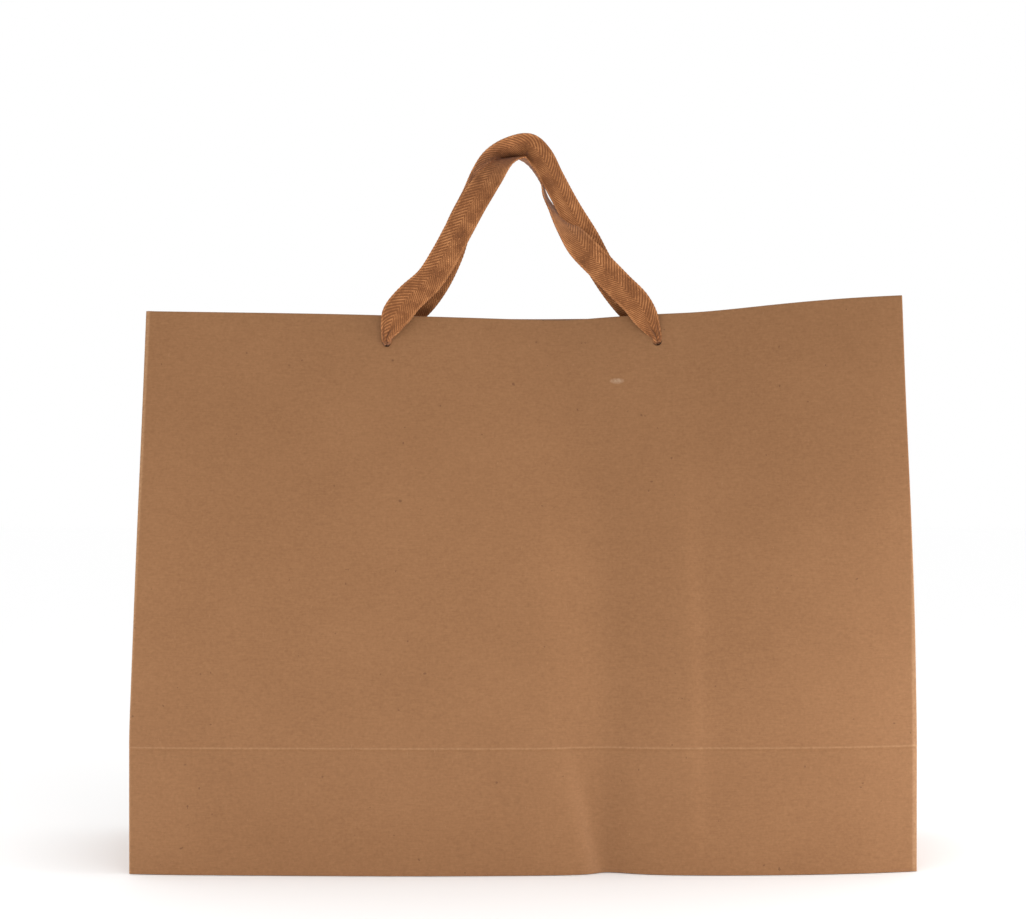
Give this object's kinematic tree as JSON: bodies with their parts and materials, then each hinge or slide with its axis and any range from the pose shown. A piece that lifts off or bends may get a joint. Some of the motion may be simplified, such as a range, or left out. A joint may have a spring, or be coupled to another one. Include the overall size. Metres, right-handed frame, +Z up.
{
  "type": "paper gift bag",
  "caption": "Standing paper gift bag with side gussets, a folded and card-stiffened top edge, a base board and two knotted cotton tape handles.",
  "frame": {"origin": "middle of the underside", "axes": "+X along the width, -Y is the front, +Z up"},
  "size_m": [0.4, 0.12, 0.3862],
  "materials": {
    "kraft_paper": "matte smooth kraft card, warm brown",
    "kraft_paper_gusset": "matte smooth kraft card, warm brown, creased",
    "kraft_paper_base": "matte kraft card, glued",
    "grey_card": "uncoated recycled board",
    "cotton_tape": "woven herringbone cotton tape, orange-brown"
  },
  "bodies": {
    "base": {"back_panel_lower": "kraft_paper", "base_board": "grey_card", "bottom_flap_back": "kraft_paper_base", "bottom_flap_front": "kraft_paper_base", "bottom_flap_left": "kraft_paper_base", "bottom_flap_right": "kraft_paper_base", "front_panel_lower": "kraft_paper", "left_gusset_back": "kraft_paper_gusset", "left_gusset_back_hem": "kraft_paper_gusset", "left_gusset_front": "kraft_paper_gusset", "left_gusset_front_hem": "kraft_paper_gusset", "left_gusset_lower": "kraft_paper_gusset", "right_gusset_back": "kraft_paper_gusset", "right_gusset_back_hem": "kraft_paper_gusset", "right_gusset_front": "kraft_paper_gusset", "right_gusset_front_hem": "kraft_paper_gusset", "right_gusset_lower": "kraft_paper_gusset", "side_seam_flap_lower": "kraft_paper"},
    "front_panel": {"front_panel": "kraft_paper", "front_top_hem": "kraft_paper", "front_reinforcement_card": "grey_card", "front_left_knot": "cotton_tape", "front_right_knot": "cotton_tape"},
    "back_panel": {"back_panel": "kraft_paper", "back_top_hem": "kraft_paper", "back_reinforcement_card": "grey_card", "back_left_knot": "cotton_tape", "back_right_knot": "cotton_tape", "side_seam_flap": "kraft_paper"},
    "front_handle": {"front_handle_tape": "cotton_tape"},
    "back_handle": {"back_handle_tape": "cotton_tape"}
  },
  "joints": [
    {"name": "front_panel_fold", "type": "hinge", "parent": "base", "child": "front_panel", "pos_m": [0, -0.06, 0.0644], "axis": [1, 0, 0], "range_deg": [0, 6], "deforming": ["left_gusset_front", "left_gusset_front_hem", "right_gusset_front", "right_gusset_front_hem"]},
    {"name": "back_panel_fold", "type": "hinge", "parent": "base", "child": "back_panel", "pos_m": [0, 0.06, 0.0644], "axis": [-1, 0, 0], "range_deg": [0, 6], "deforming": ["left_gusset_back", "left_gusset_back_hem", "right_gusset_back", "right_gusset_back_hem"]},
    {"name": "front_handle_swing", "type": "hinge", "parent": "front_panel", "child": "front_handle", "pos_m": [0, -0.0085, 0.27418], "axis": [1, 0, 0], "range_deg": [0, 165]},
    {"name": "back_handle_swing", "type": "hinge", "parent": "back_panel", "child": "back_handle", "pos_m": [0, 0.01832, 0.27635], "axis": [-1, 0, 0], "range_deg": [0, 165]}
  ]
}
